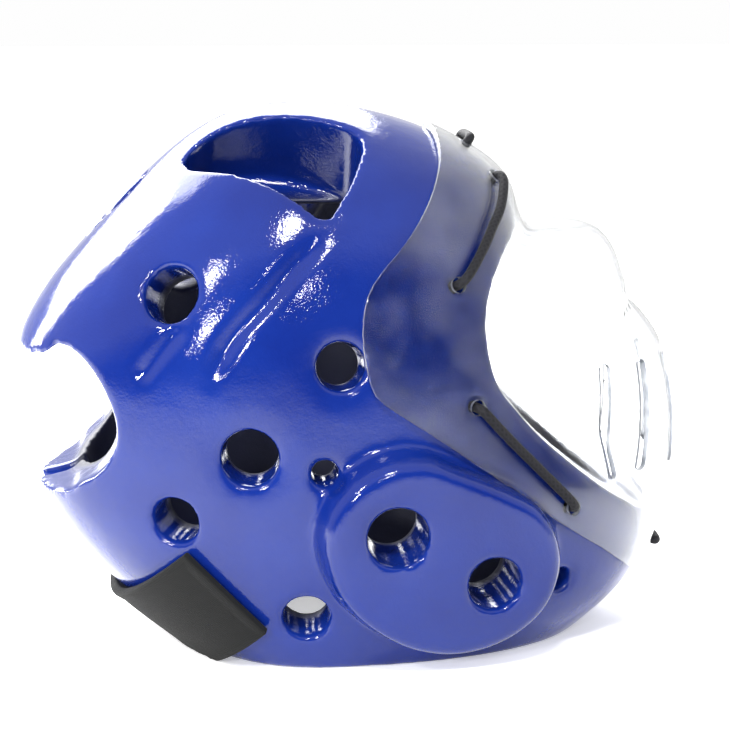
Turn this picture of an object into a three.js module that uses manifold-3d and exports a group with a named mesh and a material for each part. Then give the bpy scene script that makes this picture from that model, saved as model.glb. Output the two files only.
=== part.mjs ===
// Foam headgear with a clear face shield, in millimetres, +Z up, the face towards -Y.
// x < 0 is the wearer's right side. Lengths called forward are measured along -Y.
import * as THREE from 'three';
import { mergeVertices } from 'three/addons/utils/BufferGeometryUtils.js';
import Module from 'manifold-3d';

const wasm = await Module();
wasm.setup();

// Driving dimensions
const SHELL_HEIGHT = 246;
const FRONT_REACH = 165;
const BACK_REACH = 131;
const HALF_WIDTH = 102;
const WALL = 23;
const CROWN_WALL = 46;
const CROWN_FRONT = 30;
const FIT_GAP = 0.35;
const PAD_HEIGHT = 15;
const PAD_DRAFT = 7;
const PAD_LENGTH = 97;
const EAR_BORE = 12.5;
const SHIELD_WALL = 3;
const EYE_REACH = 141;
const EYE_HALF = 75;
const EYE_BASE = 50;
const MASK_REACH = 167.5;
const MASK_HALF = 66;
const MASK_BASE = 60;
const SLOT_WIDTH = 5;
const SLOT_LENGTH = 52;
const SLOT_STEP = 13.5;
const STRAP_WIDTH = 50;
const STRAP_THICKNESS = 5;
const LACE = 4.5;
const LACE_HOLE = 6.6;
const SPLIT_WIDTH = 12;
const BACK_HOLE = 13;
const BACK_SMALL_HOLE = 5;

const PRISM_HALF = HALF_WIDTH * 1.4;
const SHELL_LENGTH = FRONT_REACH + BACK_REACH;

// Fineness of the faceted foam surface
const RINGS = 20;
const TURNS = 38;
const INNER_RINGS = 11;
const INNER_TURNS = 24;

// Level sections of the foam's outer surface, from crown to below the rim. height is a share of
// SHELL_HEIGHT, mid and front of FRONT_REACH, back of BACK_REACH, half of HALF_WIDTH. brow and nape
// are how square the plan is in front of and behind the middle.
const SECTIONS = [
  { height: 1.0, mid: -0.048, front: 0, back: 0, half: 0, brow: 2.0, nape: 2.0 },
  { height: 0.988, mid: -0.055, front: 0.164, back: 0.214, half: 0.275, brow: 2.0, nape: 2.0 },
  { height: 0.947, mid: -0.067, front: 0.37, back: 0.366, half: 0.52, brow: 2.2, nape: 2.0 },
  { height: 0.87, mid: -0.073, front: 0.558, back: 0.534, half: 0.745, brow: 2.5, nape: 2.05 },
  { height: 0.772, mid: -0.073, front: 0.618, back: 0.71, half: 0.882, brow: 2.5, nape: 2.1 },
  { height: 0.663, mid: -0.073, front: 0.715, back: 0.885, half: 0.961, brow: 2.4, nape: 2.15 },
  { height: 0.553, mid: -0.073, front: 0.8, back: 0.992, half: 1.0, brow: 2.3, nape: 2.15 },
  { height: 0.423, mid: -0.073, front: 0.897, back: 1.0, half: 1.0, brow: 2.2, nape: 2.15 },
  { height: 0.293, mid: -0.073, front: 0.988, back: 0.924, half: 0.98, brow: 2.2, nape: 2.15 },
  { height: 0.187, mid: -0.061, front: 1.0, back: 0.817, half: 0.941, brow: 2.2, nape: 2.15 },
  { height: 0.098, mid: -0.048, front: 0.933, back: 0.672, half: 0.892, brow: 2.2, nape: 2.15 },
  { height: 0.024, mid: -0.03, front: 0.806, back: 0.519, half: 0.833, brow: 2.15, nape: 2.15 },
  { height: -0.049, mid: 0, front: 0.63, back: 0.397, half: 0.765, brow: 2.1, nape: 2.1 },
];

// Eye window of the shield: height as a share of SHELL_HEIGHT, reach of EYE_REACH, half of EYE_HALF.
const EYE_SECTIONS = [
  { height: 0.77, reach: 0.87, half: 0.5, square: 2.5 },
  { height: 0.763, reach: 0.91, half: 0.6, square: 2.6 },
  { height: 0.748, reach: 0.94, half: 0.7, square: 2.7 },
  { height: 0.722, reach: 0.965, half: 0.86, square: 2.8 },
  { height: 0.69, reach: 0.98, half: 0.96, square: 3.0 },
  { height: 0.65, reach: 1.0, half: 1.04, square: 3.0 },
  { height: 0.61, reach: 0.987, half: 1.0, square: 2.8 },
  { height: 0.575, reach: 0.93, half: 0.92, square: 2.6 },
  { height: 0.55, reach: 0.82, half: 0.8, square: 2.4 },
];

// Mouth guard of the shield: height as a share of SHELL_HEIGHT, reach of MASK_REACH, half of MASK_HALF.
const MASK_SECTIONS = [
  { height: 0.648, reach: 0.81, half: 0.8, square: 2.2 },
  { height: 0.622, reach: 0.868, half: 0.9, square: 2.3 },
  { height: 0.593, reach: 0.91, half: 0.96, square: 2.3 },
  { height: 0.545, reach: 0.955, half: 1.0, square: 2.3 },
  { height: 0.455, reach: 0.988, half: 1.0, square: 2.3 },
  { height: 0.374, reach: 1.0, half: 0.97, square: 2.3 },
  { height: 0.293, reach: 0.993, half: 0.91, square: 2.3 },
  { height: 0.236, reach: 0.967, half: 0.82, square: 2.2 },
  { height: 0.2, reach: 0.92, half: 0.7, square: 2.2 },
];

// Outlines seen from the side: forward as a share of SHELL_LENGTH, up as a share of SHELL_HEIGHT.
const FACE_OPENING = [
  [0.76, 0.8], [0.36, 0.795], [0.284, 0.772], [0.243, 0.715], [0.224, 0.655], [0.223, 0.59],
  [0.239, 0.518], [0.275, 0.46], [0.312, 0.41], [0.372, 0.345], [0.418, 0.3], [0.458, 0.267],
  [0.52, 0.235], [0.76, 0.22],
];
const BACK_OPENING = [
  [-0.7, 0.545], [-0.46, 0.553], [-0.41, 0.581], [-0.378, 0.572], [-0.35, 0.535], [-0.333, 0.497],
  [-0.323, 0.46], [-0.322, 0.432], [-0.327, 0.405], [-0.347, 0.365], [-0.38, 0.335],
  [-0.43, 0.303], [-0.7, 0.26],
];
const SHIELD_REAR = [
  [0.172, 1.12], [0.17, 0.947], [0.153, 0.874], [0.128, 0.818], [0.098, 0.771], [0.066, 0.73],
  [0.044, 0.69], [0.035, 0.63], [0.04, 0.57], [0.054, 0.515], [0.091, 0.479], [0.154, 0.427],
  [0.248, 0.345], [0.347, 0.254], [0.418, 0.193], [0.458, 0.153], [0.5, 0.125], [0.7, 0.12],
  [0.7, 1.12],
];

// Crown vent, drawn square to its axis: across is forward from the vent's centre, rise is towards
// the crown. Both are shares of VENT_LENGTH.
const VENT_LENGTH = 81;
const VENT_AT = { forward: -0.074, up: 0.902 };
const VENT_SHIFT = { across: -0.062, rise: 0.085 };
const VENT_OUTLINE = [
  [-0.45, 0.19], [-0.4, 0.09], [-0.18, -0.07], [0.05, -0.24], [0.27, -0.41], [0.33, -0.36],
  [0.43, -0.17], [0.49, 0.02], [0.5, 0.17], [0.42, 0.28], [0.14, 0.4], [-0.09, 0.43],
  [-0.29, 0.4], [-0.43, 0.29],
];

// Round vents: place on the side, with bore and mouth radius as shares of VENT_BORE.
const VENT_BORE = 10;
const VENTS = [
  { forward: -0.243, up: 0.69, bore: 1.25, mouth: 1.5 },
  { forward: 0.004, up: 0.567, bore: 0.95, mouth: 1.3 },
  { forward: -0.13, up: 0.404, bore: 1.15, mouth: 1.45 },
  { forward: -0.02, up: 0.376, bore: 0.6, mouth: 0.8 },
  { forward: -0.24, up: 0.283, bore: 1.05, mouth: 1.3 },
  { forward: -0.046, up: 0.103, bore: 1.03, mouth: 1.28 },
  { forward: 0.348, up: 0.141, bore: 0.55, mouth: 0.8 },
];

// Ear pad's face outline and holes, from its centre, as shares of PAD_LENGTH.
const PAD_AT = { forward: 0.148, up: 0.225 };
const PAD_OUTLINE = [
  [-0.495, 0.07], [-0.435, 0.275], [-0.28, 0.405], [-0.1, 0.43], [0.06, 0.365], [0.265, 0.262],
  [0.41, 0.16], [0.5, -0.03], [0.445, -0.24], [0.27, -0.375], [0.04, -0.42], [-0.19, -0.355],
  [-0.4, -0.18],
];
const EAR_HOLES = [
  { forward: -0.205, up: 0.12, share: 1.0 },
  { forward: 0.225, up: -0.12, share: 0.96 },
];

// Creases pressed into the side, as places on the side.
const CREASES = [
  [[-0.02, 0.785], [-0.063, 0.739], [-0.106, 0.68], [-0.154, 0.617], [-0.186, 0.545]],
  [[-0.222, 0.64], [-0.26, 0.587], [-0.292, 0.532]],
];
const CREASE_RADIUS = 14;
const CREASE_DEPTH = 1.8;

// Lace holes: places on the side, and heights on the centre line with holes LACE_SPREAD to each side.
const LACE_SPREAD = 11;
const LACE_PLACES = {
  temple: [{ forward: 0.249, up: 0.866 }, { forward: 0.176, up: 0.697 }],
  cheek: [{ forward: 0.204, up: 0.484 }, { forward: 0.357, up: 0.283 }],
  brow: { height: 0.915 },
  chin: { height: 0.16 },
};

// Middle of the strap's end edge on the side, and the fall of the band behind it in degrees.
const STRAP_END = { back: -0.3615, up: 0.161 };
const STRAP_TILT = 44;

const FRONT = new THREE.Vector3(0, -1, 0);
const UP = new THREE.Vector3(0, 0, 1);

function spline(rows, keys, at) {
  const last = rows.length - 1;
  const i = Math.min(Math.floor(at), last - 1);
  const u = at - i;
  const odd = ['front', 'back', 'half'];
  const read = (k, key) => {
    if (k < 0) return rows[-k][key] * (odd.includes(key) ? -1 : 1);
    if (k > last) return 2 * rows[last][key] - rows[2 * last - k][key];
    return rows[k][key];
  };
  const out = {};
  for (const key of keys) {
    const [a, b, c, d] = [read(i - 1, key), read(i, key), read(i + 1, key), read(i + 2, key)];
    out[key] = 0.5 * (2 * b + (c - a) * u + (2 * a - 5 * b + 4 * c - d) * u * u
      + (3 * b - a - 3 * c + d) * u * u * u);
  }
  return out;
}

const power = (v, e) => Math.sign(v) * Math.abs(v) ** e;

// Ring of the foam's outer surface at section number t, in mm.
function foamRing(t) {
  const s = spline(SECTIONS, ['height', 'mid', 'front', 'back', 'half', 'brow', 'nape'], t);
  return {
    up: s.height * SHELL_HEIGHT,
    mid: s.mid * FRONT_REACH,
    front: s.front * FRONT_REACH,
    back: s.back * BACK_REACH,
    half: s.half * HALF_WIDTH,
    brow: s.brow,
    nape: s.nape,
  };
}

function ringPoint(ring, turn) {
  const c = Math.cos(turn);
  const [reach, square] = c >= 0 ? [ring.front, ring.brow] : [ring.back, ring.nape];
  const forward = ring.mid + power(c, 2 / square) * reach;
  return new THREE.Vector3(power(Math.sin(turn), 2 / square) * ring.half, -forward, ring.up);
}

// Outward normal of a surface given by ring(t) at (t, turn).
function ringNormal(ringAt, t, turn, last) {
  const step = 0.02;
  const above = ringPoint(ringAt(Math.max(t - step, 0)), turn);
  const below = ringPoint(ringAt(Math.min(t + step, last)), turn);
  const down = below.sub(above);
  const ring = ringAt(Math.max(t, 0.02));
  const left = ringPoint(ring, turn - 0.01);
  const right = ringPoint(ring, turn + 0.01);
  const normal = down.cross(right.sub(left));
  return normal.normalize();
}

const LAST_SECTION = SECTIONS.length - 1;

function skin(t, turn, out) {
  const p = ringPoint(foamRing(t), turn);
  const n = t < 0.02 ? UP.clone() : ringNormal(foamRing, t, turn, LAST_SECTION);
  return p.addScaledVector(n, out);
}

function sectionAtHeight(up) {
  let low = 0;
  let high = LAST_SECTION;
  for (let k = 0; k < 40; k += 1) {
    const mid = (low + high) / 2;
    if (foamRing(mid).up > up) low = mid;
    else high = mid;
  }
  return (low + high) / 2;
}

// Section number and turn of a place on one side, both given in mm (side is -1 or 1).
function sidePlace(forward, up, side) {
  const t = sectionAtHeight(up);
  const ring = foamRing(t);
  const off = forward - ring.mid;
  const [reach, square] = off >= 0 ? [ring.front, ring.brow] : [ring.back, ring.nape];
  const c = power(THREE.MathUtils.clamp(off / reach, -1, 1), square / 2);
  return { t, turn: side * Math.acos(c) };
}

function onSide(forward, up, side, out) {
  const place = sidePlace(forward, up, side);
  return skin(place.t, place.turn, out);
}

function sideNormal(forward, up, side) {
  return onSide(forward, up, side, 1).sub(onSide(forward, up, side, 0)).normalize();
}

function place(spot, side, out) {
  return onSide(spot.forward * SHELL_LENGTH, spot.up * SHELL_HEIGHT, side, out);
}

function placeNormal(spot, side) {
  return sideNormal(spot.forward * SHELL_LENGTH, spot.up * SHELL_HEIGHT, side);
}

// Closed body from rows of points: each row a closed loop, the ends closed by fans.
function loftGeometry(rows) {
  const points = [];
  const index = [];
  const count = rows[0].length;
  rows.forEach((row) => row.forEach((p) => points.push(p.x, p.y, p.z)));
  for (let r = 0; r < rows.length - 1; r += 1) {
    for (let k = 0; k < count; k += 1) {
      const a = r * count + k;
      const b = r * count + (k + 1) % count;
      index.push(a, a + count, b, b, a + count, b + count);
    }
  }
  for (const [row, flip] of [[0, true], [rows.length - 1, false]]) {
    const centre = rows[row].reduce((s, p) => s.add(p), new THREE.Vector3()).divideScalar(count);
    const hub = points.length / 3;
    points.push(centre.x, centre.y, centre.z);
    for (let k = 0; k < count; k += 1) {
      const a = row * count + k;
      const b = row * count + (k + 1) % count;
      if (flip) index.push(hub, a, b);
      else index.push(hub, b, a);
    }
  }
  const geometry = new THREE.BufferGeometry();
  geometry.setAttribute('position', new THREE.Float32BufferAttribute(points, 3));
  geometry.setIndex(index);
  return geometry;
}

function toSolid(geometry) {
  const bare = geometry.clone();
  bare.deleteAttribute('normal');
  bare.deleteAttribute('uv');
  const merged = mergeVertices(bare, 1e-4);
  const mesh = new wasm.Mesh({
    numProp: 3,
    vertProperties: new Float32Array(merged.attributes.position.array),
    triVerts: new Uint32Array(merged.index.array),
  });
  const solid = new wasm.Manifold(mesh);
  if (solid.volume() >= 0) return solid;
  mesh.triVerts = mesh.triVerts.map((v, i, all) => all[i - (i % 3) + 2 - (i % 3)]);
  return new wasm.Manifold(mesh);
}

function toGeometry(solid) {
  const mesh = solid.getMesh();
  const points = new Float32Array(mesh.numVert * 3);
  for (let k = 0; k < mesh.numVert; k += 1) {
    for (let c = 0; c < 3; c += 1) points[k * 3 + c] = mesh.vertProperties[k * mesh.numProp + c];
  }
  const geometry = new THREE.BufferGeometry();
  geometry.setAttribute('position', new THREE.BufferAttribute(points, 3));
  geometry.setIndex(Array.from(mesh.triVerts));
  return geometry;
}

function boxSolid(size, centre) {
  return toSolid(new THREE.BoxGeometry(size.x, size.y, size.z).translate(centre.x, centre.y, centre.z));
}

// The foam's outer surface moved outwards by out, closed below the rim.
function foamSolid(out, sections, turns) {
  const rows = [];
  for (let r = 1; r <= sections; r += 1) {
    const t = (r / sections) * LAST_SECTION;
    const row = [];
    for (let k = 0; k < turns; k += 1) row.push(skin(t, (k / turns) * 2 * Math.PI, out));
    rows.push(row);
  }
  rows.push(rows[sections - 1].map((p) => p.clone().setZ(-SHELL_HEIGHT * 0.2)));
  const geometry = loftGeometry(rows);
  const crown = skin(0, 0, out);
  geometry.attributes.position.setXYZ(rows.length * turns, crown.x, crown.y, crown.z);
  return toSolid(geometry);
}

// A bulge of the shield: level rings round (base) with a flat top and bottom.
function bulgeSolid(rows, base, reach, half, inset) {
  const mid = (rows[0].height + rows[rows.length - 1].height) / 2;
  const turns = 28;
  const rings = rows.map((row) => {
    const up = row.height * SHELL_HEIGHT;
    const toMiddle = Math.abs(row.height - mid) * SHELL_HEIGHT;
    const pull = Math.sign(mid - row.height) * inset * Math.min(toMiddle / 15, 1);
    const ring = {
      up: up + pull,
      mid: base,
      front: row.reach * reach - base - inset,
      back: base * 0.6,
      half: row.half * half - inset,
      brow: row.square,
      nape: row.square,
    };
    return Array.from({ length: turns }, (_, k) => ringPoint(ring, (k / turns) * 2 * Math.PI));
  });
  return toSolid(loftGeometry(rings));
}

// Prism along X whose outline is given from the side, points as [forward, up] in mm.
function sidePrism(outline, halfWidth) {
  const shape = new THREE.Shape(outline.map(([forward, up]) => new THREE.Vector2(-forward, up)));
  const geometry = new THREE.ExtrudeGeometry(shape, { depth: 2 * halfWidth, bevelEnabled: false });
  const turn = new THREE.Matrix4().makeBasis(
    new THREE.Vector3(0, 1, 0),
    UP,
    new THREE.Vector3(1, 0, 0),
  );
  geometry.applyMatrix4(turn);
  geometry.translate(-halfWidth, 0, 0);
  return toSolid(geometry);
}

// Smooth open or closed line through chosen side places, in mm.
function smoothOutline(points, count, closed) {
  const curve = new THREE.CatmullRomCurve3(
    points.map(([forward, up]) => new THREE.Vector3(forward, up, 0)),
    closed,
    'centripetal',
  );
  const list = curve.getSpacedPoints(count).map((p) => [p.x, p.y]);
  if (closed) list.pop();
  return list;
}

function sized(points) {
  return points.map(([forward, up]) => [forward * SHELL_LENGTH, up * SHELL_HEIGHT]);
}

// Round cutter with a flared mouth, standing on a surface point along its normal.
function boreSolid(point, normal, bore, mouth, depth, sides = 20) {
  const flare = mouth - bore;
  const wide = mouth + flare * 0.3;
  const high = flare * 3 + WALL / 3;
  const profile = [
    [0, -depth], [bore, -depth], [bore, -flare], [wide, flare * 0.3], [wide, high], [0, high],
  ].map(([r, y]) => new THREE.Vector2(r, y));
  const geometry = new THREE.LatheGeometry(profile, sides);
  geometry.applyQuaternion(new THREE.Quaternion().setFromUnitVectors(new THREE.Vector3(0, 1, 0), normal));
  geometry.translate(point.x, point.y, point.z);
  return toSolid(geometry);
}

// Round bar along a chain of points, closed at both ends.
function barSolid(points, radius, sides, steps) {
  const curve = new THREE.CatmullRomCurve3(points, false, 'centripetal');
  const ring = new THREE.Shape(Array.from({ length: sides }, (_, k) => {
    const a = (k / sides) * 2 * Math.PI;
    return new THREE.Vector2(radius * Math.cos(a), radius * Math.sin(a));
  }));
  return toSolid(new THREE.ExtrudeGeometry(ring, { steps, extrudePath: curve, bevelEnabled: false }));
}

function crownVentCutter(side) {
  const spot = place(VENT_AT, side, 0);
  const axis = placeNormal(VENT_AT, side);
  axis.y = 0;
  axis.normalize();
  const rise = new THREE.Vector3().crossVectors(FRONT, axis).multiplyScalar(-side).normalize();
  if (rise.z < 0) rise.negate();
  const outline = VENT_OUTLINE.map(([a, b]) => [
    (a + VENT_SHIFT.across) * VENT_LENGTH,
    (b + VENT_SHIFT.rise) * VENT_LENGTH,
  ]);
  const points = smoothOutline(outline, 26, true);
  const rows = [-2.2 * WALL, 2 * WALL].map((depth) => points.map(([a, b]) => spot.clone()
    .addScaledVector(FRONT, a)
    .addScaledVector(rise, b)
    .addScaledVector(axis, depth)));
  return toSolid(loftGeometry(rows));
}

function padCentre() {
  return { forward: PAD_AT.forward * SHELL_LENGTH, up: PAD_AT.up * SHELL_HEIGHT };
}

function earHoleCutters(side) {
  const centre = padCentre();
  return EAR_HOLES.map((hole) => {
    const forward = centre.forward + hole.forward * PAD_LENGTH;
    const up = centre.up + hole.up * PAD_LENGTH;
    const point = onSide(forward, up, side, PAD_HEIGHT);
    const normal = sideNormal(forward, up, side);
    normal.lerp(new THREE.Vector3(side, 0, 0), 0.5).normalize();
    const bore = EAR_BORE * hole.share;
    return boreSolid(point, normal, bore, bore + 3.5, PAD_HEIGHT + 2.4 * WALL, 16);
  });
}

// Ear pad: rows run from the middle of its back, over the rounded edge, to the middle of its face.
function padSolid(side) {
  const centre = padCentre();
  const face = smoothOutline(PAD_OUTLINE.map(([a, b]) => [a * PAD_LENGTH, b * PAD_LENGTH]), 26, true);
  const longest = Math.max(...face.map(([a, b]) => Math.hypot(a, b)));
  const profile = [
    { grow: -0.75 * longest, high: FIT_GAP },
    { grow: -0.4 * longest, high: FIT_GAP },
    { grow: 0, high: FIT_GAP },
    { grow: PAD_DRAFT, high: FIT_GAP },
    { grow: PAD_DRAFT * 0.75, high: PAD_HEIGHT * 0.35 },
    { grow: PAD_DRAFT * 0.35, high: PAD_HEIGHT * 0.75 },
    { grow: 0, high: PAD_HEIGHT * 0.95 },
    { grow: -PAD_DRAFT * 0.4, high: PAD_HEIGHT },
    { grow: -0.4 * longest, high: PAD_HEIGHT },
    { grow: -0.75 * longest, high: PAD_HEIGHT },
  ];
  const rows = profile.map(({ grow, high }) => face.map(([a, b]) => {
    const scale = 1 + grow / longest;
    return onSide(centre.forward + a * scale, centre.up + b * scale, side, high);
  }));
  let pad = toSolid(loftGeometry(rows));
  pad = pad.subtract(foamSolid(FIT_GAP, RINGS, TURNS));
  const flange = shieldPrism();
  const clear = foamSolid(2 * FIT_GAP + SHIELD_WALL, RINGS, TURNS);
  pad = pad.subtract(clear.intersect(flange.translate([0, FIT_GAP, -FIT_GAP])));
  for (const cutter of earHoleCutters(side)) pad = pad.subtract(cutter);
  const vent = VENTS[3];
  const mouth = place(vent, side, 0);
  const clearing = vent.mouth * VENT_BORE;
  return pad.subtract(boreSolid(mouth, placeNormal(vent, side), clearing, clearing * 1.1, WALL));
}

// The two holes of each lace, as section number and turn.
function laceEnds(kind, side) {
  if (kind === 'temple' || kind === 'cheek') {
    return LACE_PLACES[kind].map(({ forward, up }) => (
      sidePlace(forward * SHELL_LENGTH, up * SHELL_HEIGHT, side)
    ));
  }
  const { height } = LACE_PLACES[kind];
  const t = sectionAtHeight(height * SHELL_HEIGHT);
  return [-1, 1].map((across) => ({ t, turn: (across * LACE_SPREAD) / foamRing(t).half }));
}

function laceCutters(flare) {
  const ends = [-1, 1].flatMap((side) => [...laceEnds('temple', side), ...laceEnds('cheek', side)]);
  ends.push(...laceEnds('brow', 0), ...laceEnds('chin', 0));
  return ends.map(({ t, turn }) => {
    const point = skin(t, turn, 0);
    const normal = skin(t, turn, 1).sub(point).normalize();
    return boreSolid(point, normal, LACE_HOLE / 2, LACE_HOLE / 2 + flare, 1.7 * WALL, 6);
  });
}

// Block below height, wide enough for the whole part.
function blockBelow(height) {
  const span = 2 * SHELL_LENGTH;
  return boxSolid(new THREE.Vector3(span, span, span), new THREE.Vector3(0, 0, height - span / 2));
}

// One side of the middle plane, short of it by half the fit gap.
function sideBlock(side) {
  const span = 2 * SHELL_LENGTH;
  const middle = side * (span / 2 + FIT_GAP / 2);
  return boxSolid(new THREE.Vector3(span, span, span), new THREE.Vector3(middle, 0, 0));
}

function shellSolid() {
  const span = 2 * SHELL_LENGTH;
  const crown = boxSolid(
    new THREE.Vector3(span, span, span),
    new THREE.Vector3(0, span / 2 - CROWN_FRONT, SHELL_HEIGHT - CROWN_WALL + span / 2),
  );
  const cavity = foamSolid(-WALL, INNER_RINGS, INNER_TURNS).subtract(crown);
  let shell = foamSolid(0, RINGS, TURNS).subtract(cavity).subtract(blockBelow(0));
  shell = shell.subtract(sidePrism(smoothOutline(sized(FACE_OPENING), 34, false), PRISM_HALF));
  shell = shell.subtract(sidePrism(smoothOutline(sized(BACK_OPENING), 30, false), PRISM_HALF));
  const split = new THREE.Vector3(SPLIT_WIDTH, 2 * BACK_REACH, SHELL_HEIGHT * 0.4);
  shell = shell.subtract(boxSolid(split, new THREE.Vector3(0, BACK_REACH + 10, SHELL_HEIGHT * 0.19)));
  for (const side of [-1, 1]) {
    shell = shell.subtract(crownVentCutter(side));
    for (const vent of VENTS) {
      const normal = placeNormal(vent, side);
      const [bore, mouth] = [vent.bore * VENT_BORE, vent.mouth * VENT_BORE];
      shell = shell.subtract(boreSolid(place(vent, side, 0), normal, bore, mouth, 2 * WALL, 10));
    }
    for (const crease of CREASES) {
      const lift = CREASE_RADIUS - CREASE_DEPTH;
      const path = crease.map(([forward, up]) => place({ forward, up }, side, lift));
      shell = shell.subtract(barSolid(path, CREASE_RADIUS, 14, 5));
    }
    for (const cutter of earHoleCutters(side)) shell = shell.subtract(cutter);
  }
  for (const [height, radius] of [[0.835, BACK_HOLE], [0.772, BACK_SMALL_HOLE]]) {
    const t = sectionAtHeight(height * SHELL_HEIGHT);
    const point = skin(t, Math.PI, 0);
    const normal = skin(t, Math.PI, 1).sub(point).normalize();
    shell = shell.subtract(boreSolid(point, normal, radius, radius + 2, 2 * WALL, 12));
  }
  for (const cutter of laceCutters(1.4)) shell = shell.subtract(cutter);
  return shell;
}

// Everything ahead of the shield's rear edge.
function shieldPrism() {
  return sidePrism(smoothOutline(sized(SHIELD_REAR), 60, true), PRISM_HALF);
}

function shieldSolid() {
  const outer = foamSolid(FIT_GAP + SHIELD_WALL, RINGS, TURNS);
  const inner = foamSolid(FIT_GAP, RINGS, TURNS);
  const eye = (inset) => bulgeSolid(EYE_SECTIONS, EYE_BASE, EYE_REACH, EYE_HALF, inset);
  const mask = (inset) => bulgeSolid(MASK_SECTIONS, MASK_BASE, MASK_REACH, MASK_HALF, inset);
  let shield = outer.add(eye(0)).add(mask(0));
  shield = shield.intersect(shieldPrism());
  shield = shield.subtract(inner).subtract(eye(SHIELD_WALL)).subtract(mask(SHIELD_WALL));
  const slotCentre = 0.425 * SHELL_HEIGHT;
  for (let k = -3; k <= 3; k += 1) {
    const lean = THREE.MathUtils.degToRad(k * SLOT_STEP);
    const bar = new THREE.Shape();
    const r = SLOT_WIDTH / 2;
    const high = SLOT_LENGTH / 2 - r;
    bar.absarc(0, high, r, 0, Math.PI, false);
    bar.absarc(0, -high, r, Math.PI, 2 * Math.PI, false);
    const cut = new THREE.ExtrudeGeometry(bar, {
      depth: MASK_REACH,
      bevelEnabled: false,
      curveSegments: 3,
    });
    cut.rotateX(Math.PI / 2);
    cut.rotateZ(lean);
    cut.translate(0, -MASK_BASE, slotCentre);
    shield = shield.subtract(toSolid(cut));
  }
  for (const cutter of laceCutters(0.2)) shield = shield.subtract(cutter);
  return shield;
}

// A lace lies over the shield between two holes and ends in a knot behind the foam at each.
function laceSolid([from, to]) {
  const lift = FIT_GAP + SHIELD_WALL + LACE / 2 + FIT_GAP;
  const along = (u, out) => skin(
    THREE.MathUtils.lerp(from.t, to.t, u),
    THREE.MathUtils.lerp(from.turn, to.turn, u),
    out,
  );
  const path = [
    along(0, -WALL - LACE * 1.6), along(0, -WALL / 2), along(0, 0), along(0, lift),
    along(0.14, lift), along(0.38, lift), along(0.62, lift), along(0.86, lift),
    along(1, lift), along(1, 0), along(1, -WALL / 2), along(1, -WALL - LACE * 1.6),
  ];
  let lace = barSolid(path, LACE / 2, 6, 32);
  for (const end of [0, 1]) {
    const knot = new THREE.SphereGeometry(LACE * 1.1, 7, 4);
    const at = along(end, -WALL - LACE * 1.6);
    lace = lace.add(toSolid(knot.translate(at.x, at.y, at.z)));
  }
  return lace;
}

// Band round the lower back: its end edge lies on the side, from where it runs back and down.
function strapSolid() {
  const foam = foamSolid(FIT_GAP, RINGS, TURNS);
  const around = foamSolid(FIT_GAP + STRAP_THICKNESS, RINGS, TURNS);
  const tilt = THREE.MathUtils.degToRad(STRAP_TILT);
  const corner = (along, across) => [
    STRAP_END.back * BACK_REACH - along * Math.cos(tilt) + across * Math.sin(tilt),
    STRAP_END.up * SHELL_HEIGHT - along * Math.sin(tilt) - across * Math.cos(tilt),
  ];
  const edge = STRAP_WIDTH / 2;
  const far = SHELL_LENGTH;
  const outline = [corner(0, -edge), corner(0, edge), corner(far, edge), corner(far, -edge)];
  return around.subtract(foam)
    .intersect(sidePrism(outline, PRISM_HALF))
    .subtract(blockBelow(0));
}

function finish(name, solid, colour, roughness, extra = {}) {
  const material = new THREE.MeshStandardMaterial({ color: colour, roughness, metalness: 0, ...extra });
  const mesh = new THREE.Mesh(toGeometry(solid), material);
  mesh.name = name;
  return mesh;
}

const BLUE = 0x1d3a9d;
const BLACK = 0x23221f;
const LACE_COLOUR = 0x25252b;
const CLEAR = { transparent: true, opacity: 0.25 };

const group = new THREE.Group();
const shell = shellSolid();
group.add(finish('face_shield', shieldSolid(), 0xe8eef2, 0.05, CLEAR));
group.add(finish('neck_strap', strapSolid(), BLACK, 0.9));
for (const [side, label] of [[-1, 'right'], [1, 'left']]) {
  group.add(finish(`shell_${label}`, shell.intersect(sideBlock(side)), BLUE, 0.25));
  group.add(finish(`ear_pad_${label}`, padSolid(side), BLUE, 0.25));
  for (const kind of ['temple', 'cheek']) {
    group.add(finish(`${kind}_lace_${label}`, laceSolid(laceEnds(kind, side)), LACE_COLOUR, 0.8));
  }
}
for (const kind of ['brow', 'chin']) {
  group.add(finish(`${kind}_lace`, laceSolid(laceEnds(kind, 0)), LACE_COLOUR, 0.8));
}

const box = new THREE.Box3().setFromObject(group);
const middle = box.getCenter(new THREE.Vector3());
group.position.set(-middle.x, -middle.y, -box.min.z);

export default group;
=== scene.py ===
import math

import bmesh
import bpy
import numpy as np
from mathutils import Matrix, Vector


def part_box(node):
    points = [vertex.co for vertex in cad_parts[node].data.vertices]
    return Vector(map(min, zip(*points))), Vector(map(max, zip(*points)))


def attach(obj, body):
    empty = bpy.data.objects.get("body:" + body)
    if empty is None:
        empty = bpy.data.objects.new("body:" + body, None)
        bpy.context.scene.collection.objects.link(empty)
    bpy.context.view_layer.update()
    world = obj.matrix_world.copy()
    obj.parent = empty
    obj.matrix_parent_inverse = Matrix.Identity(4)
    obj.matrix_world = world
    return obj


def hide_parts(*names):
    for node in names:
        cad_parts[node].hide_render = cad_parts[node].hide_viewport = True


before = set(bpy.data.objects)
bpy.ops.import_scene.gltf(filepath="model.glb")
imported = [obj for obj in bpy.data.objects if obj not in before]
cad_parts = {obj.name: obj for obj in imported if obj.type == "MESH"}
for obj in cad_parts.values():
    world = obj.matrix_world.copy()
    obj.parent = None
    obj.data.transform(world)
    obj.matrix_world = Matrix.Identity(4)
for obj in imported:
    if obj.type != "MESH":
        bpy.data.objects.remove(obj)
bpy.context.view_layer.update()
print("frame loaded")

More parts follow.
